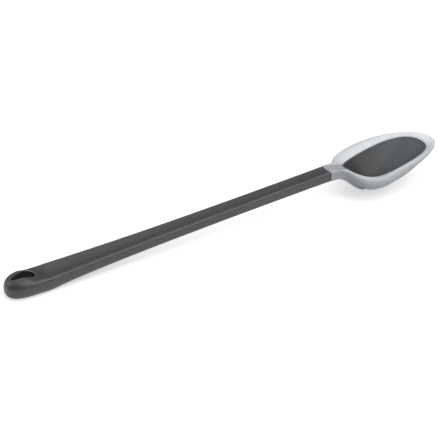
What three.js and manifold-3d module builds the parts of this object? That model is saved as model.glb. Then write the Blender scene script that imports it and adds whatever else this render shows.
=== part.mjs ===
// Long spoon: a rigid nylon core with a soft silicone edge moulded over its head.
// It lies on its back: +X runs from the handle's end to the bowl's tip, +Z is up, and z = 0 is the table.
import * as THREE from 'three';
import { mergeVertices } from 'three/addons/utils/BufferGeometryUtils.js';
import Module from 'manifold-3d';

const wasm = await Module();
wasm.setup();

// Driving dimensions, in millimetres. A name ending in At is a distance from the spoon's handle end,
// and one ending in Past is a distance past the join of handle and head.
const spoonLength = 251.5;
const headLength = 67.5;
const mouldGap = 0.3;
const cutMargin = 1;

// The handle's domed end and the hang eye through it.
const domeCrownAt = 11.7;
const domeStartAt = 7.2;
const domeEndAt = 30.2;
const domeHeight = 10.5;
const domeMiddle = 4.2;
const domeSectionPower = 2.5;
const noseSidePower = 2.25;
const noseTopPower = 2.5;
const noseUndersidePower = 3.95;
const eyeTipAt = 3.2;
const eyeTipRadius = 1.7;
const eyeEndAt = 15.6;
const eyeEndRadius = 3.55;

// The fluted handle, from its broad grip to its slim neck.
const gripHalfWidth = 8.05;
const gripTop = 7.9;
const gripCornerRadius = 4.8;
const restEndAt = 20.5;
const restBlend = 5;
const handleEndAt = spoonLength - headLength;
const neckHalfWidth = 4.6;
const neckTop = 18.3;
const neckUnderside = 12.9;
const neckCornerRadius = 1.1;
const topPower = 1.135;
const widthTaper = 56.5;
const widthTaperPower = 1.28;
const undersidePower = 0.72;
const gripLipRadius = 1.5;
const neckLipRadius = 1.2;
const fluteShare = 0.2;

// The tang that the collar grips.
const tangRoot = 1;
const tangInset = 1.2;
const tangRadius = 0.8;
const tangDrop = 1;
const tangEndPast = 10.3;
const tangHolePast = 3.6;
const tangHoleRadius = 1.2;

// The nylon dish.
const keelPast = 29.5;
const dishFloor = 3.6;
const dishWall = 1.8;
const dishPower = 1.7;
const dishNeckPast = 9.6;
const dishNeckHeight = 17.6;
const dishShoulderPast = 17.15;
const dishShoulderHalfWidth = 10.6;
const dishShoulderHeight = 11.45;
const dishHeelPast = 22.4;
const dishSidePast = 34.25;
const dishHalfWidth = 13.5;
const dishSideHeight = 14.6;
const tipRimWidth = 6.2;
const dishTipPast = headLength - tipRimWidth;
const dishFrontPull = 10.9;
const dishFrontPast = dishTipPast - dishFrontPull;
const dishSlope = 0.22;
const dishTipHalfSpread = 10.5;
const dishTipHeight = 18.7;
const rebateDepth = 0.9;
const tongueLength = 0.8;
const tongueThickness = 1.2;

// The silicone rim, collar and belly.
const bowlHalfWidth = 19.7;
const rimSlope = 0.247;
const flarePast = 4.7;
const neckPullPast = 11.1;
const heelPullPast = 9.9;
const rimSidePast = 26.2;
const rimSideHeight = 13.05;
const rimFrontPull = 18.6;
const rimFrontPast = headLength - rimFrontPull;
const rimTipHalfSpread = 11.7;
const rimTipHeight = 19.2;
const rimSideRoll = 2.3;
const rimSideRollHeight = 3.15;
const rimTipRoll = 0.75;
const rimTipRollHeight = 0.55;
const collarRoll = 1.25;
const collarSquareness = 0.5;
const rollTopTurn = 0.53 * Math.PI;
const rollUndersideTurn = -0.28 * Math.PI;
const shoulderStartPast = 7.9;
const shoulderEndPast = 14.3;
const heelBellyRound = 0.45;
const sideBellyRound = 0.19;
const tipBellyRound = 2;
const neckBellyStart = 0.13;
const neckBellyEnd = 0.93;
const heelFlatDepth = 0.2;

// Facets: how finely the curved surfaces are cut.
const noseStations = 9;
const domeStations = 18;
const handleStations = 28;
const stationCrowding = 1.3;
const cornerSteps = 3;
const fluteSteps = 6;
const aroundSteps = 44;
const dishSteps = 6;
const rimTopSteps = 2;
const rollSteps = 6;
const bellySteps = 8;
const eyeSegments = 10;
const holeSegments = 12;
const weldDistance = 1e-5;

const nylon = new THREE.MeshStandardMaterial({ color: 0x4d4e51, roughness: 0.55, metalness: 0 });
const silicone = new THREE.MeshStandardMaterial({ color: 0xd3d9df, roughness: 0.4, metalness: 0 });

const lerp = THREE.MathUtils.lerp;
const smoothstep = THREE.MathUtils.smoothstep;
const along = (at) => at - spoonLength / 2;
const point = (at, y, z) => new THREE.Vector3(along(at), y, z);
const headPoint = (past, y, z) => point(handleEndAt + past, y, z);
const keelX = along(handleEndAt + keelPast);

// A closed ring from the half of it on the +Y side, whose two ends lie on the spoon's middle plane.
function mirrored(half) {
  const inner = half.slice(1, -1);
  const far = inner.map((p) => new THREE.Vector3(p.x, -p.y, p.z));
  return [half[0], ...far, half[half.length - 1], ...inner.reverse()];
}

// A closed skin over rings of equal count, shut by one point at each end.
function loft(startPoint, rings, endPoint) {
  const count = rings[0].length;
  const vertices = [startPoint, ...rings.flat(), endPoint];
  const last = vertices.length - 1;
  const faces = [];
  for (let i = 0; i < count; i += 1) {
    const next = (i + 1) % count;
    faces.push(0, 1 + i, 1 + next);
    faces.push(last, last - count + next, last - count + i);
    for (let ring = 0; ring < rings.length - 1; ring += 1) {
      const near = 1 + ring * count;
      const far = near + count;
      faces.push(near + i, far + i, far + next);
      faces.push(near + i, far + next, near + next);
    }
  }
  const geometry = new THREE.BufferGeometry().setFromPoints(vertices);
  geometry.setIndex(faces);
  return geometry;
}

function solidOf(geometry) {
  const bare = geometry.clone();
  bare.deleteAttribute('normal');
  bare.deleteAttribute('uv');
  const merged = mergeVertices(bare, weldDistance);
  const vertProperties = new Float32Array(merged.getAttribute('position').array);
  const triVerts = new Uint32Array(merged.getIndex().array);
  return new wasm.Manifold(new wasm.Mesh({ numProp: 3, vertProperties, triVerts }));
}

function meshOf(solid, name, material) {
  const { vertProperties, triVerts } = solid.getMesh();
  const geometry = new THREE.BufferGeometry();
  geometry.setAttribute('position', new THREE.BufferAttribute(new Float32Array(vertProperties), 3));
  geometry.setIndex(new THREE.BufferAttribute(new Uint32Array(triVerts), 1));
  geometry.computeVertexNormals();
  const mesh = new THREE.Mesh(geometry, material);
  mesh.name = name;
  return mesh;
}

// Superellipse height at a place from 0 (crown) to 1 (edge).
const swell = (place, power) => (1 - Math.min(1, Math.abs(place)) ** power) ** (1 / power);

const taperAt = (at) => Math.exp(-(((at - domeCrownAt) / widthTaper) ** widthTaperPower));
const handleHalfWidth = (at) => lerp(neckHalfWidth, gripHalfWidth, taperAt(at));
const handleTop = (at) => {
  const place = (at - domeCrownAt) / (handleEndAt - domeCrownAt);
  return lerp(gripTop, neckTop, place ** topPower);
};

// Distance past the flat rest, eased in so that the underside leaves the table without a corner.
function pastRest(at) {
  const past = Math.max(0, at - restEndAt);
  return past < restBlend ? past ** 2 / (2 * restBlend) : past - restBlend / 2;
}

const handleUnderside = (at) => neckUnderside * (pastRest(at) / pastRest(handleEndAt)) ** undersidePower;

// Half of a bar section: flat underside, round lower corners, a round lip and half of the flute on top.
function sectionHalf(at, size) {
  const { halfWidth, bottom, top, corner, lip, flute } = size;
  const half = [point(at, 0, bottom)];
  for (let step = 0; step <= cornerSteps; step += 1) {
    const angle = (Math.PI / 2) * (step / cornerSteps - 1);
    half.push(point(at, halfWidth + corner * (Math.cos(angle) - 1), bottom + corner * (1 + Math.sin(angle))));
  }
  for (let step = 0; step <= cornerSteps; step += 1) {
    const angle = (Math.PI / 2) * (step / cornerSteps);
    half.push(point(at, halfWidth + lip * (Math.cos(angle) - 1), top + lip * (Math.sin(angle) - 1)));
  }
  for (let step = 1; step <= fluteSteps; step += 1) {
    const place = 1 - step / fluteSteps;
    half.push(point(at, (halfWidth - lip) * place, top - flute * (1 - place ** 2)));
  }
  return half;
}

// The handle's section, pushed out where the dome stands above it and drawn in over the rounded nose.
function handleSection(at) {
  const from = Math.max(at, domeCrownAt);
  const halfWidth = handleHalfWidth(from);
  const lip = lerp(neckLipRadius, gripLipRadius, taperAt(from));
  const half = sectionHalf(at, {
    halfWidth,
    bottom: handleUnderside(from),
    top: handleTop(from),
    corner: lerp(neckCornerRadius, gripCornerRadius, taperAt(from)),
    lip,
    flute: fluteShare * (halfWidth - lip),
  });
  const domeSize = 1 - smoothstep(at, domeStartAt, domeEndAt);
  const nose = (domeCrownAt - Math.min(at, domeCrownAt)) / domeCrownAt;
  for (const p of half) {
    const rise = p.z - domeMiddle;
    if (rise > 0 && domeSize > 0) {
      const across = (p.y / (halfWidth * domeSize)) ** domeSectionPower;
      const upward = (rise / ((domeHeight - domeMiddle) * domeSize)) ** domeSectionPower;
      const push = Math.max(1, (across + upward) ** (-1 / domeSectionPower));
      p.y *= push;
      p.z = domeMiddle + rise * push;
    }
    p.y *= swell(nose, noseSidePower);
    const drawn = swell(nose, rise > 0 ? noseTopPower : noseUndersidePower);
    p.z = lerp(domeMiddle, p.z, drawn);
  }
  return mirrored(half);
}

function handleSolid() {
  const sections = [];
  for (let station = 1; station <= noseStations; station += 1) {
    const turn = (Math.PI / 2) * (station / noseStations);
    sections.push(handleSection(domeCrownAt * (1 - Math.cos(turn))));
  }
  for (let station = 1; station <= domeStations; station += 1) {
    sections.push(handleSection(lerp(domeCrownAt, domeEndAt, station / domeStations)));
  }
  for (let station = 1; station <= handleStations; station += 1) {
    const place = (station / handleStations) ** stationCrowding;
    sections.push(handleSection(lerp(domeEndAt, handleEndAt, place)));
  }
  const neckMiddle = (neckTop + neckUnderside) / 2;
  return solidOf(loft(point(0, 0, domeMiddle), sections, point(handleEndAt, 0, neckMiddle)));
}

// The hang eye is a drop: a small round toward the end and a large one toward the bowl.
function eyeSolid() {
  const tip = eyeTipAt + eyeTipRadius;
  const end = eyeEndAt - eyeEndRadius;
  const tangent = Math.PI / 2 + Math.asin((eyeEndRadius - eyeTipRadius) / (end - tip));
  const outline = new THREE.Shape();
  outline.absarc(along(end), 0, eyeEndRadius, -tangent, tangent);
  outline.absarc(along(tip), 0, eyeTipRadius, tangent, 2 * Math.PI - tangent);
  const depth = domeHeight + 2 * cutMargin;
  const options = { depth, bevelEnabled: false, curveSegments: eyeSegments };
  const prism = new THREE.ExtrudeGeometry(outline, options);
  return solidOf(prism.translate(0, 0, -cutMargin));
}

// The tang carries the handle on into the collar, inset on every side. Grown, it is the room left for it.
function tangSolid(grow) {
  const size = {
    halfWidth: neckHalfWidth - tangInset + grow,
    bottom: neckUnderside + tangInset - grow,
    corner: tangRadius,
    lip: tangRadius,
    flute: 0,
  };
  const top = neckTop - tangInset + grow;
  const start = handleEndAt - tangRoot;
  const end = handleEndAt + tangEndPast + grow;
  const sections = [
    mirrored(sectionHalf(start, { ...size, top })),
    mirrored(sectionHalf(handleEndAt, { ...size, top })),
    mirrored(sectionHalf(end, { ...size, top: top - tangDrop })),
  ];
  const middle = (size.bottom + top) / 2;
  return solidOf(loft(point(start, 0, middle), sections, point(end, 0, middle)));
}

// A hole through the tang lets the silicone flow through and key itself to the core.
function tangHoleSolid(grow) {
  const radius = tangHoleRadius + grow;
  const pin = new THREE.CylinderGeometry(radius, radius, 2 * neckTop, holeSegments).rotateX(Math.PI / 2);
  return solidOf(pin.translate(along(handleEndAt + tangHolePast), 0, neckTop));
}

// The visible edge of the nylon dish, on the +Y side from the neck to the tip.
const dishSide = headPoint(dishSidePast, dishHalfWidth, dishSideHeight);
const dishEdge = new THREE.CurvePath();
dishEdge.add(new THREE.CubicBezierCurve3(
  headPoint(dishNeckPast, 0, dishNeckHeight),
  headPoint(dishShoulderPast, dishShoulderHalfWidth, dishShoulderHeight),
  headPoint(dishHeelPast, dishHalfWidth, dishSideHeight - dishSlope * (dishSidePast - dishHeelPast)),
  dishSide,
));
dishEdge.add(new THREE.CubicBezierCurve3(
  dishSide,
  headPoint(dishFrontPast, dishHalfWidth, dishSideHeight + dishSlope * (dishFrontPast - dishSidePast)),
  headPoint(dishTipPast, dishTipHalfSpread, dishTipHeight),
  headPoint(dishTipPast, 0, dishTipHeight),
));

// The outermost line of the silicone, from the collar's end face round the shoulder to the tip.
const collarMiddle = (neckTop + neckUnderside) / 2;
const collarCorner = headPoint(mouldGap, neckHalfWidth, collarMiddle);
const rimSide = headPoint(rimSidePast, bowlHalfWidth, rimSideHeight);
const rimEdge = new THREE.CurvePath();
const flareStart = headPoint(flarePast, neckHalfWidth, collarMiddle);
rimEdge.add(new THREE.LineCurve3(headPoint(mouldGap, 0, collarMiddle), collarCorner));
rimEdge.add(new THREE.LineCurve3(collarCorner, flareStart));
rimEdge.add(new THREE.CubicBezierCurve3(
  flareStart,
  headPoint(neckPullPast, neckHalfWidth, collarMiddle),
  headPoint(heelPullPast, bowlHalfWidth, rimSideHeight - rimSlope * (rimSidePast - heelPullPast)),
  rimSide,
));
rimEdge.add(new THREE.CubicBezierCurve3(
  rimSide,
  headPoint(rimFrontPast, bowlHalfWidth, rimSideHeight + rimSlope * (rimFrontPast - rimSidePast)),
  headPoint(headLength, rimTipHalfSpread, rimTipHeight),
  headPoint(headLength, 0, rimTipHeight),
));

// A point of the dish's inside at a place from the keel (0) to its edge (1), lifted square to the surface.
function dishPoint(edge, place, lift) {
  const spread = Math.hypot(edge.x - keelX, edge.y);
  const slope = (dishPower * (edge.z - dishFloor) * place ** (dishPower - 1)) / spread;
  const z = lerp(dishFloor, edge.z, place ** dishPower) + lift * Math.hypot(1, slope);
  return new THREE.Vector3(lerp(keelX, edge.x, place), edge.y * place, z);
}

const outwardOf = (dish, rim) => new THREE.Vector3(rim.x - dish.x, rim.y - dish.y, 0).normalize();

// Turns a profile worked out at each step round the bowl into the rings of a loft.
function roundTheBowl(profileAt, top, bottom) {
  const profiles = [];
  for (let step = 0; step <= aroundSteps; step += 1) {
    const place = step / aroundSteps;
    profiles.push(profileAt(dishEdge.getPointAt(place), rimEdge.getPointAt(place)));
  }
  const rings = profiles[0].map((_, column) => mirrored(profiles.map((profile) => profile[column])));
  return solidOf(loft(headPoint(keelPast, 0, top), rings, headPoint(keelPast, 0, bottom)));
}

// The nylon dish: its inside, a rebate at its edge, the hidden tongue, and its outer wall.
function dishSolid(grow) {
  const profileAt = (dish, rim) => {
    const outward = outwardOf(dish, rim);
    const edge = dish.clone().addScaledVector(outward, grow);
    const tongueEnd = dish.clone().addScaledVector(outward, tongueLength + grow);
    const tongueTop = dish.z - rebateDepth + grow;
    const tongueUnderside = dish.z - rebateDepth - tongueThickness - grow;
    const profile = [];
    for (let step = 1; step <= dishSteps; step += 1) {
      profile.push(dishPoint(edge, step / dishSteps, grow));
    }
    profile.push(new THREE.Vector3(edge.x, edge.y, tongueTop));
    profile.push(new THREE.Vector3(tongueEnd.x, tongueEnd.y, tongueTop));
    profile.push(new THREE.Vector3(tongueEnd.x, tongueEnd.y, tongueUnderside));
    for (let step = dishSteps; step >= 1; step -= 1) {
      profile.push(dishPoint(edge, step / dishSteps, -dishWall - grow));
    }
    return profile;
  };
  return roundTheBowl(profileAt, dishFloor + grow, dishFloor - dishWall - grow);
}

// How far the belly has climbed at a place from the keel (0) to the rim (1): round below, straighter above.
function bellyClimb(place, round) {
  return (Math.hypot(1, place / round) - 1) / (Math.hypot(1, 1 / round) - 1);
}

// The outside of the head: the rim's gentle top, its round edge and the belly, with the core still inside it.
function headSolid() {
  const profileAt = (dish, rim) => {
    const outward = outwardOf(dish, rim);
    const past = rim.x - along(handleEndAt);
    const collar = 1 - smoothstep(past, shoulderStartPast, shoulderEndPast);
    const toTip = smoothstep(past, rimSidePast, headLength);
    const rollDepth = lerp(lerp(rimSideRoll, rimTipRoll, toTip), collarRoll, collar);
    const edgeHeight = lerp(rimSideRollHeight, rimTipRollHeight, toTip);
    const rollHeight = lerp(edgeHeight, (neckTop - neckUnderside) / 2, collar);
    const squareness = lerp(1, collarSquareness, collar);
    const rollPoint = (angle) => {
      const reach = Math.sign(Math.cos(angle)) * Math.abs(Math.cos(angle)) ** squareness;
      const rise = Math.sign(Math.sin(angle)) * Math.abs(Math.sin(angle)) ** squareness;
      const place = rim.clone().addScaledVector(outward, rollDepth * (reach - 1));
      return place.setZ(rim.z + rollHeight * rise);
    };
    const rollStart = rollPoint(rollTopTurn);
    const rollEnd = rollPoint(rollUndersideTurn);
    const profile = [];
    for (let step = 1; step < dishSteps; step += 1) {
      profile.push(dishPoint(dish, step / dishSteps, -dishWall / 2));
    }
    for (let step = 0; step < rimTopSteps; step += 1) {
      profile.push(dish.clone().lerp(rollStart, step / rimTopSteps));
    }
    for (let step = 0; step <= rollSteps; step += 1) {
      profile.push(rollPoint(lerp(rollTopTurn, rollUndersideTurn, step / rollSteps)));
    }
    const toSide = smoothstep(past, shoulderStartPast, rimSidePast);
    const bellyRound = lerp(lerp(heelBellyRound, sideBellyRound, toSide), tipBellyRound, toTip);
    for (let step = bellySteps - 1; step >= 1; step -= 1) {
      const place = step / bellySteps;
      const neckClimb = smoothstep(place, neckBellyStart, neckBellyEnd);
      const z = lerp(-heelFlatDepth, rollEnd.z, lerp(bellyClimb(place, bellyRound), neckClimb, collar));
      profile.push(new THREE.Vector3(lerp(keelX, rollEnd.x, place), rollEnd.y * place, z));
    }
    return profile;
  };
  return roundTheBowl(profileAt, dishFloor - dishWall / 2, -heelFlatDepth);
}

// The table's top, which leaves a small flat for the bowl to rest on.
function tableSolid() {
  const depth = heelFlatDepth + cutMargin;
  const slab = new THREE.BoxGeometry(spoonLength + 2 * cutMargin, 2 * (bowlHalfWidth + cutMargin), depth);
  return solidOf(slab.translate(0, 0, -depth / 2));
}

const handle = handleSolid().subtract(eyeSolid());
const core = handle.add(tangSolid(0)).add(dishSolid(0)).subtract(tangHoleSolid(0));
const seat = tangSolid(mouldGap).add(dishSolid(mouldGap)).subtract(tangHoleSolid(-mouldGap));
const edge = headSolid().subtract(seat).subtract(tableSolid());

const spoon = new THREE.Group();
spoon.name = 'long_spoon';
spoon.add(meshOf(core, 'nylon_core', nylon));
spoon.add(meshOf(edge, 'silicone_edge', silicone));

export default spoon;
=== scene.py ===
import math
import bpy
import bmesh
import numpy as np
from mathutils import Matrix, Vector
from mathutils.bvhtree import BVHTree


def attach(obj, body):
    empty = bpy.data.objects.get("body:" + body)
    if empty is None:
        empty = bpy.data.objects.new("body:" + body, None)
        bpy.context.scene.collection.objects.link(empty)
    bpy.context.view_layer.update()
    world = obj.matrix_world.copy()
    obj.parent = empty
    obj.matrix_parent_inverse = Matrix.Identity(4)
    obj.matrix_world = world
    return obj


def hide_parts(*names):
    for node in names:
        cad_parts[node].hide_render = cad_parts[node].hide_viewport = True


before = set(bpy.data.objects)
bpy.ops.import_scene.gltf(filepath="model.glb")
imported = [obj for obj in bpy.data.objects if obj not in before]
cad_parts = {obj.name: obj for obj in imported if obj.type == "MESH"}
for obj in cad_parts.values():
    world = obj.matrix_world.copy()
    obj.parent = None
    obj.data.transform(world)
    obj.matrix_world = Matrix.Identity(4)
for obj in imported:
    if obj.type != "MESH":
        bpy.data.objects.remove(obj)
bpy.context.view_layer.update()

mm = 0.001
tiny = 0.0001  # keeps a power away from 0
weldGap = 1e-7  # metres
print("frame loaded:", sorted(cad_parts))

# small helpers


def lerp(a, b, place):
    return a + (b - a) * place


def smoothStep(value, low, high):
    place = np.clip((value - low) / (high - low), 0, 1)
    return place * place * (3 - 2 * place)


def meshObject(name, points, faces):
    mesh = bpy.data.meshes.new(name)
    mesh.from_pydata([tuple(p) for p in np.asarray(points) * mm], [], faces)
    mesh.update()
    made = bpy.data.objects.new(name, mesh)
    bpy.context.scene.collection.objects.link(made)
    return made


def faceOut(piece):
    work = bmesh.new()
    work.from_mesh(piece.data)
    bmesh.ops.remove_doubles(work, verts=work.verts, dist=weldGap)
    bmesh.ops.recalc_face_normals(work, faces=work.faces)
    work.to_mesh(piece.data)
    work.free()


def cut(piece, other, operation):
    step = piece.modifiers.new("cut", "BOOLEAN")
    step.operation = operation
    step.solver = "EXACT"
    step.object = other
    graph = bpy.context.evaluated_depsgraph_get()
    made = bpy.data.meshes.new_from_object(piece.evaluated_get(graph))
    piece.modifiers.clear()
    piece.data = made


def loftRings(name, startPoint, rings, endPoint):
    count = len(rings[0])
    points = [startPoint] + [p for ring in rings for p in ring] + [endPoint]
    last = len(points) - 1
    faces = []
    for i in range(count):
        j = (i + 1) % count
        faces.append((0, 1 + i, 1 + j))
        faces.append((last, last - count + j, last - count + i))
        for r in range(len(rings) - 1):
            a = 1 + r * count
            b = a + count
            faces.append((a + i, b + i, b + j, a + j))
    made = meshObject(name, points, faces)
    faceOut(made)
    return made


def mirroredRing(half):
    half = np.asarray(half)
    far = half[1:-1] * (1, -1, 1)
    return np.concatenate([half[:1], far, half[-1:], half[1:-1][::-1]])


# the nylon handle: a tapering fluted bar, made by one node tree

handle = {
    "spoonLength": 251.5, "handleEnd": 184,
    "domeCrown": 11.7, "domeStart": 8.5, "domeEnd": 25, "domeHeight": 10.5, "domeMiddle": 4.2,
    "domePower": 2.7, "domeFall": 1, "domeFoot": 1,
    "noseSidePower": 2.25, "noseTopPower": 2.5, "noseUnderPower": 3.95,
    "gripHalfWidth": 8.05, "neckHalfWidth": 4.6, "widthTaper": 56.5, "widthPower": 1.28,
    "gripTop": 7.9, "neckTop": 18.3, "topPower": 1.135,
    "restEnd": 20.5, "restBlend": 5, "neckUnder": 12.9, "underPower": 0.72,
    "gripCorner": 4.8, "neckCorner": 1.1, "gripLip": 1.5, "neckLip": 1.2, "fluteShare": 0.2,
}
handleMesh = {"stations": 400, "around": 132, "noseShare": 0.16, "crowding": 1.25, "weld": 1e-6}
# where corner, side, lip and flute take over from the flat, round half a section
sectionBreaks = (0.1, 0.28, 0.42, 0.64)


class Sum:  # a node socket that takes part in plain arithmetic
    def __init__(self, tree, socket):
        self.tree = tree
        self.socket = socket

    def do(self, operation, *others):
        made = self.tree.nodes.new("ShaderNodeMath")
        made.operation = operation
        for slot, value in zip(made.inputs, (self,) + others):
            if isinstance(value, Sum):
                self.tree.links.new(value.socket, slot)
            else:
                slot.default_value = value
        return Sum(self.tree, made.outputs[0])

    def __add__(self, other):
        return self.do("ADD", other)

    def __radd__(self, other):
        return self.do("ADD", other)

    def __sub__(self, other):
        return self.do("SUBTRACT", other)

    def __rsub__(self, other):
        return self.do("MULTIPLY_ADD", -1, other)

    def __mul__(self, other):
        return self.do("MULTIPLY", other)

    def __rmul__(self, other):
        return self.do("MULTIPLY", other)

    def __truediv__(self, other):
        return self.do("DIVIDE", other)

    def __pow__(self, other):
        return self.do("POWER", other)

    def part(self, low, high):  # 0 before low, 1 after high
        made = ((self - low) / (high - low)).do("ADD", 0)
        made.socket.node.use_clamp = True
        return made


def handleTree(material):
    tree = bpy.data.node_groups.new("flutedHandle", "GeometryNodeTree")
    tree.interface.new_socket("Geometry", in_out="OUTPUT", socket_type="NodeSocketGeometry")
    sockets = {}
    for name, value in handle.items():
        sockets[name] = tree.interface.new_socket(name, in_out="INPUT", socket_type="NodeSocketFloat")
        sockets[name].default_value = value
    start = tree.nodes.new("NodeGroupInput")
    size = {name: Sum(tree, start.outputs[name]) for name in handle}

    grid = tree.nodes.new("GeometryNodeMeshGrid")
    grid.inputs["Vertices X"].default_value = handleMesh["stations"]
    grid.inputs["Vertices Y"].default_value = handleMesh["around"] + 1
    split = tree.nodes.new("ShaderNodeSeparateXYZ")
    tree.links.new(tree.nodes.new("GeometryNodeInputPosition").outputs[0], split.inputs[0])
    u = Sum(tree, split.outputs[0]) + 0.5
    v = Sum(tree, split.outputs[1]) + 0.5

    # along the handle: a round nose, then stations that spread out toward the neck
    # the last row closes the end
    share = handleMesh["noseShare"]
    row = 1 / (handleMesh["stations"] - 1)
    nose = (u.part(0, share) * (math.pi / 2)).do("COSINE")
    run = size["handleEnd"] - size["domeCrown"]
    place = u.part(share, 1 - row) ** handleMesh["crowding"]
    barAt = size["domeCrown"] + run * place
    at = size["domeCrown"] * (1 - nose) + run * place
    closing = u.do("GREATER_THAN", 1 - row / 2)

    taper = (((barAt - size["domeCrown"]) / size["widthTaper"]) ** size["widthPower"] * -1).do("EXPONENT")
    halfWidth = size["neckHalfWidth"] + (size["gripHalfWidth"] - size["neckHalfWidth"]) * taper
    corner = size["neckCorner"] + (size["gripCorner"] - size["neckCorner"]) * taper
    top = size["gripTop"] + (size["neckTop"] - size["gripTop"]) * place ** size["topPower"]
    past = (barAt - size["restEnd"]).do("MAXIMUM", 0)
    eased = past.do("MINIMUM", size["restBlend"])
    climb = eased * eased / (2 * size["restBlend"]) + past - eased
    climbEnd = size["handleEnd"] - size["restEnd"] - size["restBlend"] / 2
    under = size["neckUnder"] * (climb / climbEnd) ** size["underPower"]

    # round half a section, from the middle of the underside to the middle of the flute
    half = 1 - (2 * v - 1).do("ABSOLUTE")
    side = (0.5 - v).do("SIGN")
    edges = (0,) + sectionBreaks + (1,)
    flat, turn, wall, roll, dip = (half.part(low, high) for low, high in zip(edges, edges[1:]))
    turn = turn * (math.pi / 2)
    roll = roll * (math.pi / 2)
    lip = size["neckLip"] + (size["gripLip"] - size["neckLip"]) * taper
    y = (halfWidth - corner) * flat + corner * turn.do("SINE")
    y = y - lip * (1 - roll.do("COSINE")) - (halfWidth - lip) * dip
    z = under + corner * (1 - turn.do("COSINE")) + (top - lip - under - corner) * wall
    z = z + lip * roll.do("SINE")
    z = z - size["fluteShare"] * (halfWidth - lip) * (1 - (1 - dip) * (1 - dip))

    # round the eye the section is a plain dome, which melts into the fluted bar
    ramp = at.part(size["domeStart"], size["domeEnd"])
    melt = ramp * ramp * (3 - 2 * ramp)
    rise = z - size["domeMiddle"]
    upper = rise.part(0, size["domeFoot"])
    tall = size["domeHeight"] - size["domeMiddle"] - size["domeFall"] * melt
    across = (y / halfWidth).do("MAXIMUM", tiny) ** size["domePower"]
    upward = (rise / tall).do("MAXIMUM", tiny) ** size["domePower"]
    reach = (across + upward) ** (size["domePower"] ** -1 * -1)
    push = 1 + (reach - 1) * (1 - melt) * upper
    y = y * push
    z = size["domeMiddle"] + rise * push

    # the nose draws the section in
    def drawn(power):
        return (1 - nose ** power).do("MAXIMUM", 0) ** (power ** -1)

    topDraw = drawn(size["noseTopPower"])
    underDraw = drawn(size["noseUnderPower"])
    draw = underDraw + (topDraw - underDraw) * rise.do("GREATER_THAN", 0)
    y = y * drawn(size["noseSidePower"]) * side * (1 - closing)
    z = size["domeMiddle"] + (z - size["domeMiddle"]) * draw
    z = z + ((size["neckTop"] + size["neckUnder"]) / 2 - z) * closing

    joined = tree.nodes.new("ShaderNodeCombineXYZ")
    for slot, value in zip(joined.inputs, (at - size["spoonLength"] / 2, y, z)):
        tree.links.new((value * mm).socket, slot)
    shape = tree.nodes.new("GeometryNodeSetPosition")
    tree.links.new(grid.outputs["Mesh"], shape.inputs["Geometry"])
    tree.links.new(joined.outputs[0], shape.inputs["Position"])
    weld = tree.nodes.new("GeometryNodeMergeByDistance")
    weld.inputs["Distance"].default_value = handleMesh["weld"]
    realize = tree.nodes.new("GeometryNodeRealizeInstances")
    paint = tree.nodes.new("GeometryNodeSetMaterial")
    paint.inputs["Material"].default_value = material
    end = tree.nodes.new("NodeGroupOutput")
    for a, b in zip((shape, weld, realize, paint), (weld, realize, paint, end)):
        tree.links.new(a.outputs[0], b.inputs[0])
    return tree, sockets


def makeHandle(material):
    made = meshObject("handleStart", [(0, 0, 0)], [])
    tree, sockets = handleTree(material)
    step = made.modifiers.new("flutedHandle", "NODES")
    step.node_group = tree
    for name, value in handle.items():
        step[sockets[name].identifier] = float(value)
    graph = bpy.context.evaluated_depsgraph_get()
    mesh = bpy.data.meshes.new_from_object(made.evaluated_get(graph))
    made.modifiers.clear()
    made.data = mesh
    faceOut(made)
    return made


# the hang eye: a drop-shaped hole with rounded edges that follow the dome

eye = {
    "tipAt": 3.2, "tipRadius": 1.7, "endAt": 15.6, "endRadius": 3.55, "topRound": 0.25, "underRound": 0.6,
    "wallReach": 1, "wallSlack": 0.1,
}
eyeMesh = {
    "around": 96, "roundSteps": 8, "lastTurn": 80,
    "overshoot": 0.05, "below": -1, "above": 2, "lookFrom": 50,
}


def dropOutline(grow):
    tip = eye["tipAt"] + eye["tipRadius"]
    end = eye["endAt"] - eye["endRadius"]
    tangent = math.pi / 2 + math.asin((eye["endRadius"] - eye["tipRadius"]) / (end - tip))
    middle = handle["spoonLength"] / 2
    points = []
    half = eyeMesh["around"] // 2
    for i in range(half):
        angle = lerp(-tangent, tangent, i / (half - 1))
        radius = eye["endRadius"] + grow
        points.append((end - middle + radius * math.cos(angle), radius * math.sin(angle)))
    for i in range(half):
        angle = lerp(tangent, 2 * math.pi - tangent, i / (half - 1))
        radius = eye["tipRadius"] + grow
        points.append((tip - middle + radius * math.cos(angle), radius * math.sin(angle)))
    return points


def makeEyeCutter(body):
    surface = BVHTree.FromObject(body, bpy.context.evaluated_depsgraph_get())

    def topAt(x, y):
        hit = surface.ray_cast(Vector((x * mm, y * mm, eyeMesh["lookFrom"] * mm)), Vector((0, 0, -1)))
        return hit[0].z / mm

    def ring(grow, depth, upper):
        points = []
        for x, y in dropOutline(grow):
            points.append((x, y, topAt(x, y) - depth if upper else depth))
        return points

    steps = eyeMesh["roundSteps"]
    turns = [math.radians(eyeMesh["lastTurn"]) * i / steps for i in range(steps + 1)]
    low, high = eye["underRound"], eye["topRound"]
    top = handle["domeHeight"] + eyeMesh["above"]
    rings = [[(x, y, eyeMesh["below"]) for x, y in dropOutline(low)], ring(low, -eyeMesh["overshoot"], False)]
    for turn in reversed(turns):
        rings.append(ring(low * (1 - math.cos(turn)), low * (1 - math.sin(turn)), False))
    for turn in turns:
        rings.append(ring(high * (1 - math.cos(turn)), high * (1 - math.sin(turn)), True))
    rings.append(ring(high, -eyeMesh["overshoot"], True))
    rings.append([(x, y, top) for x, y in dropOutline(high)])
    centre = eye["endAt"] - eye["endRadius"] - handle["spoonLength"] / 2
    return loftRings("eyeCutter", (centre, 0, eyeMesh["below"]), rings, (centre, 0, top))


# the head: the nylon dish and the silicone moulded round it, both turned round the bowl's keel

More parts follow.
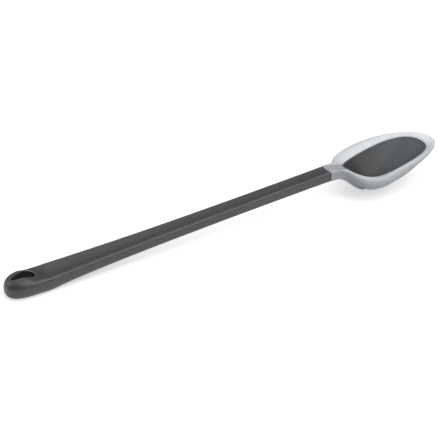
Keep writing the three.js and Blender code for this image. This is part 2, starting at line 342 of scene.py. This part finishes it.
dish = {
    "keel": 29.5, "floor": 3.6, "wall": 1.8, "power": 1.7,
    "neck": (9.6, 0, 17.6), "shoulder": (17.15, 10.6, 11.45), "heel": 22.4,
    "side": 34.25, "halfWidth": 13.5, "sideHeight": 14.6, "slope": 0.22, "front": 50.4,
    "tip": 61.3, "tipSpread": 10.5, "tipHeight": 18.7,
    "rebate": 0.9, "tongue": 0.8, "tongueThickness": 1.2, "edgeRound": 0.12, "edgeSlope": 0.06,
}
tang = {"inset": 1.2, "radius": 0.8, "drop": 1, "end": 10.3, "root": 1, "roundSteps": 5}
rim = {
    "length": 67.5, "halfWidth": 19.7, "slope": 0.247, "flare": 4.7, "neckPull": 11.1, "heelPull": 9.9,
    "side": 26.2, "sideHeight": 13.05, "front": 48.9, "tipSpread": 11.7, "tipHeight": 19.2,
    "sideRoll": 2.3, "sideRollHeight": 3.15, "tipRoll": 0.75, "tipRollHeight": 0.55,
    "collarRoll": 1.25, "collarSquare": 0.5, "topTurn": 0.53, "underTurn": -0.28,
    "shoulderStart": 7.9, "shoulderEnd": 14.3, "heelBelly": 0.45, "sideBelly": 0.19, "tipBelly": 2,
    "neckBellyStart": 0.13, "neckBellyEnd": 0.93, "flat": 0.2, "seam": 0.03,
}
headMesh = {
    "around": 190, "dishRings": 26, "innerRings": 5, "topRings": 8, "rollRings": 20, "bellyRings": 30,
    "curveSteps": 600, "straightSteps": 80, "edgeShy": 1e-4,
}
joinX = handle["handleEnd"] - handle["spoonLength"] / 2
keelX = joinX + dish["keel"]


def headPoint(past, y, z):
    return np.array((joinX + past, y, z), float)


def bezier(a, b, c, d):
    t = np.linspace(0, 1, headMesh["curveSteps"])[:, None]
    return a * (1 - t) ** 3 + 3 * b * t * (1 - t) ** 2 + 3 * c * t ** 2 * (1 - t) + d * t ** 3


def evenly(pieces, count):
    line = np.concatenate(pieces)
    run = np.concatenate([[0], np.cumsum(np.linalg.norm(np.diff(line, axis=0), axis=1))])
    marks = np.linspace(0, run[-1], count)
    return np.stack([np.interp(marks, run, line[:, axis]) for axis in range(3)], axis=1)


def dishEdge(count):
    side = headPoint(dish["side"], dish["halfWidth"], dish["sideHeight"])
    heel = dish["sideHeight"] - dish["slope"] * (dish["side"] - dish["heel"])
    front = dish["sideHeight"] + dish["slope"] * (dish["front"] - dish["side"])
    return evenly([
        bezier(headPoint(*dish["neck"]), headPoint(*dish["shoulder"]),
               headPoint(dish["heel"], dish["halfWidth"], heel), side),
        bezier(side, headPoint(dish["front"], dish["halfWidth"], front),
               headPoint(dish["tip"], dish["tipSpread"], dish["tipHeight"]),
               headPoint(dish["tip"], 0, dish["tipHeight"])),
    ], count)


def rimEdge(count):
    width = handle["neckHalfWidth"]
    middle = (handle["neckTop"] + handle["neckUnder"]) / 2
    side = headPoint(rim["side"], rim["halfWidth"], rim["sideHeight"])
    heel = rim["sideHeight"] - rim["slope"] * (rim["side"] - rim["heelPull"])
    front = rim["sideHeight"] + rim["slope"] * (rim["front"] - rim["side"])
    steps = headMesh["straightSteps"]
    corner = headPoint(rim["seam"], width, middle)
    flare = headPoint(rim["flare"], width, middle)
    return evenly([
        np.linspace(headPoint(rim["seam"], 0, middle), corner, steps),
        np.linspace(corner, flare, steps),
        bezier(flare, headPoint(rim["neckPull"], width, middle),
               headPoint(rim["heelPull"], rim["halfWidth"], heel), side),
        bezier(side, headPoint(rim["front"], rim["halfWidth"], front),
               headPoint(rim["length"], rim["tipSpread"], rim["tipHeight"]),
               headPoint(rim["length"], 0, rim["tipHeight"])),
    ], count)


def dishPoint(edge, place, lift):
    spread = math.hypot(edge[0] - keelX, edge[1])
    slope = dish["power"] * (edge[2] - dish["floor"]) * place ** (dish["power"] - 1) / spread
    z = lerp(dish["floor"], edge[2], place ** dish["power"]) + lift * math.hypot(1, slope)
    return np.array((lerp(keelX, edge[0], place), edge[1] * place, z))


def outward(inner, outer):
    way = np.array((outer[0] - inner[0], outer[1] - inner[1], 0))
    return way / np.linalg.norm(way)


def roundTheBowl(name, profileAt, top, bottom):
    count = headMesh["around"]
    profiles = [profileAt(a, b) for a, b in zip(dishEdge(count), rimEdge(count))]
    rings = [mirroredRing([profile[i] for profile in profiles]) for i in range(len(profiles[0]))]
    return loftRings(name, (keelX, 0, top), rings, (keelX, 0, bottom))


def makeDish(name, grow):
    steps = headMesh["dishRings"]

    def profileAt(inner, outer):
        way = outward(inner, outer)
        edge = inner + way * grow
        tongueEnd = inner + way * (dish["tongue"] + grow)
        low = inner[2] - dish["rebate"] - dish["tongueThickness"] - grow
        high = inner[2] - dish["rebate"] + grow
        points = [dishPoint(edge, i / steps, grow) for i in range(1, steps)]
        if grow == 0:  # a small round where the inside meets the seam
            points.append(dishPoint(edge, 1 - dish["edgeSlope"] * dish["edgeRound"], 0))
            points.append(edge - (0, 0, dish["edgeRound"]))
        else:
            points.append(dishPoint(edge, 1 - headMesh["edgeShy"], grow))
            points.append(dishPoint(edge, 1, grow))
        points.append(np.array((edge[0], edge[1], high)))
        points.append(np.array((tongueEnd[0], tongueEnd[1], high)))
        points.append(np.array((tongueEnd[0], tongueEnd[1], low)))
        points += [dishPoint(edge, i / steps, -dish["wall"] - grow) for i in range(steps, 0, -1)]
        return points

    return roundTheBowl(name, profileAt, dish["floor"] + grow, dish["floor"] - dish["wall"] - grow)


def makeTang(name, grow):
    half = handle["neckHalfWidth"] - tang["inset"] + grow
    radius, steps = tang["radius"], tang["roundSteps"]
    low = handle["neckUnder"] + tang["inset"] - grow
    high = handle["neckTop"] - tang["inset"] + grow

    def section(past, top):
        points = [headPoint(past, 0, low)]
        for middle, turnFrom in ((low + radius, -90), (top - radius, 0)):
            for i in range(steps + 1):
                turn = math.radians(turnFrom + 90 * i / steps)
                y = half + radius * (math.cos(turn) - 1)
                points.append(headPoint(past, y, middle + radius * math.sin(turn)))
        points.append(headPoint(past, 0, top))
        return mirroredRing(points)

    end = tang["end"] + grow
    rings = [section(-tang["root"], high), section(0, high), section(end, high - tang["drop"])]
    middle = (low + high) / 2
    return loftRings(name, headPoint(-tang["root"], 0, middle), rings, headPoint(end, 0, middle))


def bellyClimb(place, rounding):
    return (math.hypot(1, place / rounding) - 1) / (math.hypot(1, 1 / rounding) - 1)


def makeHead():
    def profileAt(inner, outer):
        way = outward(inner, outer)
        past = outer[0] - joinX
        collar = 1 - float(smoothStep(past, rim["shoulderStart"], rim["shoulderEnd"]))
        toTip = float(smoothStep(past, rim["side"], rim["length"]))
        depth = lerp(lerp(rim["sideRoll"], rim["tipRoll"], toTip), rim["collarRoll"], collar)
        height = lerp(rim["sideRollHeight"], rim["tipRollHeight"], toTip)
        height = lerp(height, (handle["neckTop"] - handle["neckUnder"]) / 2, collar)
        square = lerp(1, rim["collarSquare"], collar)

        def rollPoint(turn):
            across, upward = math.cos(turn * math.pi), math.sin(turn * math.pi)
            reach = math.copysign(abs(across) ** square, across)
            rise = math.copysign(abs(upward) ** square, upward)
            return outer + way * depth * (reach - 1) + np.array((0, 0, height * rise))

        rollStart, rollEnd = rollPoint(rim["topTurn"]), rollPoint(rim["underTurn"])
        count = headMesh["innerRings"]
        points = [dishPoint(inner, i / count, -dish["wall"] / 2) for i in range(1, count)]
        points += [lerp(inner, rollStart, i / headMesh["topRings"]) for i in range(headMesh["topRings"])]
        for i in range(headMesh["rollRings"] + 1):
            points.append(rollPoint(lerp(rim["topTurn"], rim["underTurn"], i / headMesh["rollRings"])))
        toSide = float(smoothStep(past, rim["shoulderStart"], rim["side"]))
        belly = lerp(lerp(rim["heelBelly"], rim["sideBelly"], toSide), rim["tipBelly"], toTip)
        for i in range(headMesh["bellyRings"] - 1, 0, -1):
            place = i / headMesh["bellyRings"]
            neckClimb = float(smoothStep(place, rim["neckBellyStart"], rim["neckBellyEnd"]))
            z = lerp(-rim["flat"], rollEnd[2], lerp(bellyClimb(place, belly), neckClimb, collar))
            points.append(np.array((lerp(keelX, rollEnd[0], place), rollEnd[1] * place, max(0, z))))
        return points

    return roundTheBowl("siliconeEdge", profileAt, dish["floor"] - dish["wall"] / 2, 0)


# finishes

nylonLook = {
    # the pale colour for up-facing edges is a painted highlight on the lips, partly edge wear
    "dark": (0.041, 0.042, 0.044, 1), "light": (0.052, 0.053, 0.055, 1), "wornAndLit": (0.2, 0.201, 0.203, 1),
    # the bowl's paler colour toward the tip is painted light on the dish's inside
    "bowlLit": (0.103, 0.113, 0.124, 1), "bowlLitStart": 28, "bowlLitEnd": 58, "eyePaintedShade": (0.014, 0.014, 0.015, 1),
    "litEdgeLow": 0.4, "litEdgeHigh": 1, "litEdgeFacing": (0.1, 0.5), "litEdgePasses": 3,
    "sheen": 0.5, "bowlSheen": 0.24, "ior": 1.68, "mottle": 260, "grain": 3200, "grainBump": 0.12,
    "roughGrain": 800, "roughLow": 0.4, "roughHigh": 0.52,
}
siliconeLook = {
    "milk": (0.935, 0.96, 0.99, 1), "overNylon": (0.13, 0.141, 0.156, 1), "clearing": 0.0016,
    "leans": (22, 44), "aimsAround": 6, "cloud": 180, "cloudShare": 0.03, "grain": 2400, "grainBump": 0.05,
    "roughGrain": 480, "roughLow": 0.38, "roughHigh": 0.48,
    "ior": 1.41, "clear": 0.45, "subsurface": 0.2, "subsurfaceReach": 0.0012,
}
noiseBand = (0.3, 0.7)  # most of a noise texture lies between these
grainDepth = 0.0002  # metres
shadeAngle = 38  # edges sharper than this stay crisp


def newMaterial(name):
    material = bpy.data.materials.new(name)
    material.use_nodes = True
    nodes, links = material.node_tree.nodes, material.node_tree.links
    return material, nodes, links, nodes["Principled BSDF"]


def noise(nodes, links, coords, scale, detail):
    made = nodes.new("ShaderNodeTexNoise")
    made.inputs["Scale"].default_value = scale
    made.inputs["Detail"].default_value = detail
    links.new(coords.outputs["Object"], made.inputs["Vector"])
    return made.outputs["Fac"]


def spread(nodes, links, value, low, high, toLow, toHigh):
    made = nodes.new("ShaderNodeMapRange")
    for name, number in zip(("From Min", "From Max", "To Min", "To Max"), (low, high, toLow, toHigh)):
        made.inputs[name].default_value = number
    links.new(value, made.inputs["Value"])
    return made.outputs["Result"]


def mix(nodes, links, share, a, b):
    made = nodes.new("ShaderNodeMix")
    made.data_type = "RGBA"
    links.new(share, made.inputs["Factor"])
    for slot, value in zip((made.inputs[6], made.inputs[7]), (a, b)):
        if isinstance(value, tuple):
            slot.default_value = value
        else:
            links.new(value, slot)
    return made.outputs[2]


def grainBump(nodes, links, coords, look, bsdf):
    bump = nodes.new("ShaderNodeBump")
    bump.inputs["Strength"].default_value = look["grainBump"]
    bump.inputs["Distance"].default_value = grainDepth
    links.new(noise(nodes, links, coords, look["grain"], 3), bump.inputs["Height"])
    links.new(bump.outputs["Normal"], bsdf.inputs["Normal"])


def makeNylon():
    material, nodes, links, bsdf = newMaterial("matteNylon")
    coords = nodes.new("ShaderNodeTexCoord")
    mottle = noise(nodes, links, coords, nylonLook["mottle"], 4)
    patches = spread(nodes, links, mottle, *noiseBand, 0, 1)
    shade = mix(nodes, links, patches, nylonLook["dark"], nylonLook["light"])
    # up-facing outer edges made pale: a painted highlight on the lips, partly edge wear
    wornAndLit = nodes.new("ShaderNodeAttribute")
    wornAndLit.attribute_name = "edgeWearAndHighlight"
    shade = mix(nodes, links, wornAndLit.outputs["Fac"], shade, nylonLook["wornAndLit"])
    # painted light: the bowl's inside paler toward the tip
    bowlLit = nodes.new("ShaderNodeAttribute")
    bowlLit.attribute_name = "bowlTipLight"
    shade = mix(nodes, links, bowlLit.outputs["Fac"], shade, nylonLook["bowlLit"])
    stirred = nodes.new("ShaderNodeAttribute")
    stirred.attribute_name = "inBowl"
    sheen = spread(nodes, links, stirred.outputs["Fac"], 0, 1, nylonLook["sheen"], nylonLook["bowlSheen"])
    links.new(sheen, bsdf.inputs["Specular IOR Level"])
    # painted shade on the eye's wall, inside the hole
    inEye = nodes.new("ShaderNodeAttribute")
    inEye.attribute_name = "eyeWallShade"
    links.new(mix(nodes, links, inEye.outputs["Fac"], shade, nylonLook["eyePaintedShade"]), bsdf.inputs["Base Color"])
    grain = noise(nodes, links, coords, nylonLook["roughGrain"], 2)
    rough = spread(nodes, links, grain, *noiseBand, nylonLook["roughLow"], nylonLook["roughHigh"])
    links.new(rough, bsdf.inputs["Roughness"])
    bsdf.inputs["IOR"].default_value = nylonLook["ior"]
    grainBump(nodes, links, coords, nylonLook, bsdf)
    return material


def makeSilicone():
    material, nodes, links, bsdf = newMaterial("milkySilicone")
    coords = nodes.new("ShaderNodeTexCoord")
    depth = nodes.new("ShaderNodeAttribute")
    depth.attribute_name = "milkDepth"
    clouds = noise(nodes, links, coords, siliconeLook["cloud"], 3)
    cloud = spread(nodes, links, clouds, *noiseBand, -siliconeLook["cloudShare"], siliconeLook["cloudShare"])
    share = nodes.new("ShaderNodeMath")
    share.operation = "ADD"
    share.use_clamp = True
    links.new(depth.outputs["Fac"], share.inputs[0])
    links.new(cloud, share.inputs[1])
    shade = mix(nodes, links, share.outputs[0], siliconeLook["overNylon"], siliconeLook["milk"])
    links.new(shade, bsdf.inputs["Base Color"])
    grain = noise(nodes, links, coords, siliconeLook["roughGrain"], 2)
    rough = spread(nodes, links, grain, *noiseBand, siliconeLook["roughLow"], siliconeLook["roughHigh"])
    links.new(rough, bsdf.inputs["Roughness"])
    bsdf.inputs["IOR"].default_value = siliconeLook["ior"]
    bsdf.inputs["Transmission Weight"].default_value = siliconeLook["clear"]
    bsdf.inputs["Subsurface Weight"].default_value = siliconeLook["subsurface"]
    bsdf.inputs["Subsurface Radius"].default_value = (1, 1, 1)
    bsdf.inputs["Subsurface Scale"].default_value = siliconeLook["subsurfaceReach"]
    grainBump(nodes, links, coords, siliconeLook, bsdf)
    return material


def addAttribute(piece, name, values):
    held = piece.data.attributes.new(name, "FLOAT", "POINT")
    held.data.foreach_set("value", np.asarray(values, np.float32))


def milkDepth(piece, core):  # how much of the milk hides the nylon, looking straight in and a little aslant
    inside = BVHTree.FromObject(core, bpy.context.evaluated_depsgraph_get())
    count = siliconeLook["aimsAround"]
    aims = [(0, 0)]
    for lean in siliconeLook["leans"]:
        aims += [(math.radians(lean), 2 * math.pi * i / count) for i in range(count)]
    shares = []
    for vert in piece.data.vertices:
        inward = -vert.normal
        across = inward.orthogonal().normalized()
        other = inward.cross(across)
        total = 0.0
        for lean, turn in aims:
            aslant = across * math.cos(turn) + other * math.sin(turn)
            way = inward * math.cos(lean) + aslant * math.sin(lean)
            run = inside.ray_cast(vert.co, way)[3]
            total += 1 if run is None else 1 - math.exp(-run / siliconeLook["clearing"])
        shares.append(total / len(aims))
    return shares


def edgeWearAndHighlight(piece):  # outer edges that face up, made pale: partly edge wear, mostly a painted highlight on the lips
    work = bmesh.new()
    work.from_mesh(piece.data)
    work.normal_update()
    total = np.zeros(len(work.verts))
    for vert in work.verts:
        bend, span = 0.0, 1e-9
        for edge in vert.link_edges:
            if len(edge.link_faces) == 2:
                a, b = edge.link_faces
                bend += edge.calc_face_angle_signed(0.0) * edge.calc_length()
                span += (a.calc_area() + b.calc_area()) / 2
        total[vert.index] = bend / span
    for _ in range(nylonLook["litEdgePasses"]):
        smooth = total.copy()
        for vert in work.verts:
            near = [edge.other_vert(vert).index for edge in vert.link_edges]
            smooth[vert.index] = 0.5 * total[vert.index] + 0.5 * float(np.mean(total[near]))
        total = smooth
    work.free()
    facing = np.array([vert.normal.z for vert in piece.data.vertices])
    bent = smoothStep(total * mm, nylonLook["litEdgeLow"], nylonLook["litEdgeHigh"])
    return bent * smoothStep(facing, *nylonLook["litEdgeFacing"])


def bowlTipLight(piece):  # the inside of the bowl, made paler toward the tip on upward-facing points: painted light
    shares = []
    for vert in piece.data.vertices:
        share = smoothStep(vert.co.x / mm - joinX, nylonLook["bowlLitStart"], nylonLook["bowlLitEnd"])
        shares.append(float(share) if vert.normal.z > 0 else 0)
    return shares


def inBowl(piece):  # the bowl's inside, duller than the handle from use
    start = (joinX + dish["neck"][0]) * mm
    return [1 if vert.co.x > start and vert.normal.z > 0 else 0 for vert in piece.data.vertices]


def eyeWallShade(piece):  # the eye's own wall, darkened: painted shade inside the hole
    shares = []
    for vert in piece.data.vertices:
        at = vert.co.x / mm + handle["spoonLength"] / 2
        along = eye["tipAt"] - eye["wallReach"] < at < eye["endAt"] + eye["wallReach"]
        across = abs(vert.co.y / mm) < eye["endRadius"] + eye["wallSlack"]
        shares.append(1 - abs(vert.normal.z) if along and across else 0)
    return shares


def smoothShade(piece, angle):
    for polygon in piece.data.polygons:
        polygon.use_smooth = True
    piece.data.set_sharp_from_angle(angle=math.radians(angle))


nylon = makeNylon()
silicone = makeSilicone()

nylonCore = makeHandle(nylon)
print("handle:", len(nylonCore.data.vertices), "points")
cutter = makeEyeCutter(nylonCore)
cut(nylonCore, cutter, "DIFFERENCE")
print("eye cut:", len(nylonCore.data.vertices), "points")
nylonTang = makeTang("nylonTang", 0)
nylonDish = makeDish("nylonDish", 0)
cut(nylonCore, nylonTang, "UNION")
cut(nylonCore, nylonDish, "UNION")
nylonCore.name = "nylonCore"
print("core joined:", len(nylonCore.data.vertices), "points")

siliconeEdge = makeHead()
seatDish = makeDish("seatDish", rim["seam"])
seatTang = makeTang("seatTang", rim["seam"])
cut(siliconeEdge, seatDish, "DIFFERENCE")
cut(siliconeEdge, seatTang, "DIFFERENCE")
print("silicone fitted:", len(siliconeEdge.data.vertices), "points")
for helper in (cutter, nylonTang, nylonDish, seatDish, seatTang):
    bpy.data.objects.remove(helper)

addAttribute(siliconeEdge, "milkDepth", milkDepth(siliconeEdge, nylonCore))
addAttribute(nylonCore, "edgeWearAndHighlight", edgeWearAndHighlight(nylonCore))
addAttribute(nylonCore, "inBowl", inBowl(nylonCore))
addAttribute(nylonCore, "eyeWallShade", eyeWallShade(nylonCore))
addAttribute(nylonCore, "bowlTipLight", bowlTipLight(nylonCore))

finished = (
    (nylonCore, nylon, "nylon_core", "nylon"),
    (siliconeEdge, silicone, "silicone_edge", "silicone"),
)
for piece, material, node, slot in finished:
    piece.data.materials.clear()
    piece.data.materials.append(material)
    smoothShade(piece, shadeAngle)
    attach(piece, "root")
    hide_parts(node)
print("pieces finished")

# table, light and camera

table = {
    "reach": 3, "rough": 0.9, "glow": 0.52,
    "seen": (0.92, 0.92, 0.92, 1), "bounce": (0.18, 0.18, 0.18, 1),
}
white = (1, 1, 1, 1)
lights = {
    "front": {"at": (0.35, -0.65, 1.05), "size": 1.3, "level": 2.4},
    "back": {"at": (-0.1, 0.55, 1.15), "size": 1.2, "level": 0.95},
    "left": {"at": (-0.9, 0.9, 0.6), "size": 0.6, "level": 2.5},
}
roomLevel = 0.17
photoView = {
    "azimuth": 32, "elevation": 29, "distance": 900, "target": (-6.27, 0.24, 7.12),
    "focus": 1795.3, "image": 440, "sensor": 36, "near": 10,
}


def seenDirectly(nodes, links):  # 1 for what the camera, a reflection or the clear silicone shows
    path = nodes.new("ShaderNodeLightPath")
    seen = path.outputs["Is Camera Ray"]
    for name in ("Is Glossy Ray", "Is Transmission Ray"):
        either = nodes.new("ShaderNodeMath")
        either.operation = "MAXIMUM"
        links.new(seen, either.inputs[0])
        links.new(path.outputs[name], either.inputs[1])
        seen = either.outputs[0]
    return seen


reach = table["reach"] / mm
corners = [(-reach, -reach, 0), (reach, -reach, 0), (reach, reach, 0), (-reach, reach, 0)]
floor = meshObject("tableTop", corners, [(0, 1, 2, 3)])
tableMaterial, nodes, links, bsdf = newMaterial("tableWhite")
seen = seenDirectly(nodes, links)
links.new(mix(nodes, links, seen, table["bounce"], table["seen"]), bsdf.inputs["Base Color"])
bsdf.inputs["Roughness"].default_value = table["rough"]
bsdf.inputs["Specular IOR Level"].default_value = 0
bsdf.inputs["Emission Color"].default_value = white
links.new(spread(nodes, links, seen, 0, 1, 0, table["glow"]), bsdf.inputs["Emission Strength"])
floor.data.materials.append(tableMaterial)

for name, setting in lights.items():
    lamp = bpy.data.lights.new(name, "AREA")
    lamp.shape = "SQUARE"
    lamp.size = setting["size"]
    place = Vector(setting["at"])
    lamp.energy = math.pi * setting["size"] ** 2 * setting["level"]  # level 1 is as bright as lit white paper
    holder = bpy.data.objects.new(name, lamp)
    holder.location = place
    holder.rotation_euler = (-place).to_track_quat("-Z", "Y").to_euler()
    bpy.context.scene.collection.objects.link(holder)

world = bpy.data.worlds.new("studio")
world.use_nodes = True
bpy.context.scene.world = world
sky = world.node_tree.nodes["Background"]
sky.inputs["Color"].default_value = white
nodes, links = world.node_tree.nodes, world.node_tree.links
path = nodes.new("ShaderNodeLightPath")
links.new(spread(nodes, links, path.outputs["Is Camera Ray"], 0, 1, roomLevel, 1), sky.inputs["Strength"])

turn, lift = math.radians(photoView["azimuth"]), math.radians(photoView["elevation"])
look = Vector((math.sin(turn) * math.cos(lift), math.cos(turn) * math.cos(lift), -math.sin(lift)))
lens = bpy.data.cameras.new("photoCamera")
lens.sensor_width = photoView["sensor"]
lens.lens = photoView["sensor"] * photoView["focus"] / photoView["image"]
lens.clip_start = photoView["near"] * mm
camera = bpy.data.objects.new("photoCamera", lens)
camera.location = (Vector(photoView["target"]) - look * photoView["distance"]) * mm
camera.rotation_euler = look.to_track_quat("-Z", "Y").to_euler()
bpy.context.scene.collection.objects.link(camera)
bpy.context.scene.camera = camera
bpy.context.scene.view_settings.view_transform = "Standard"
print("stage set")
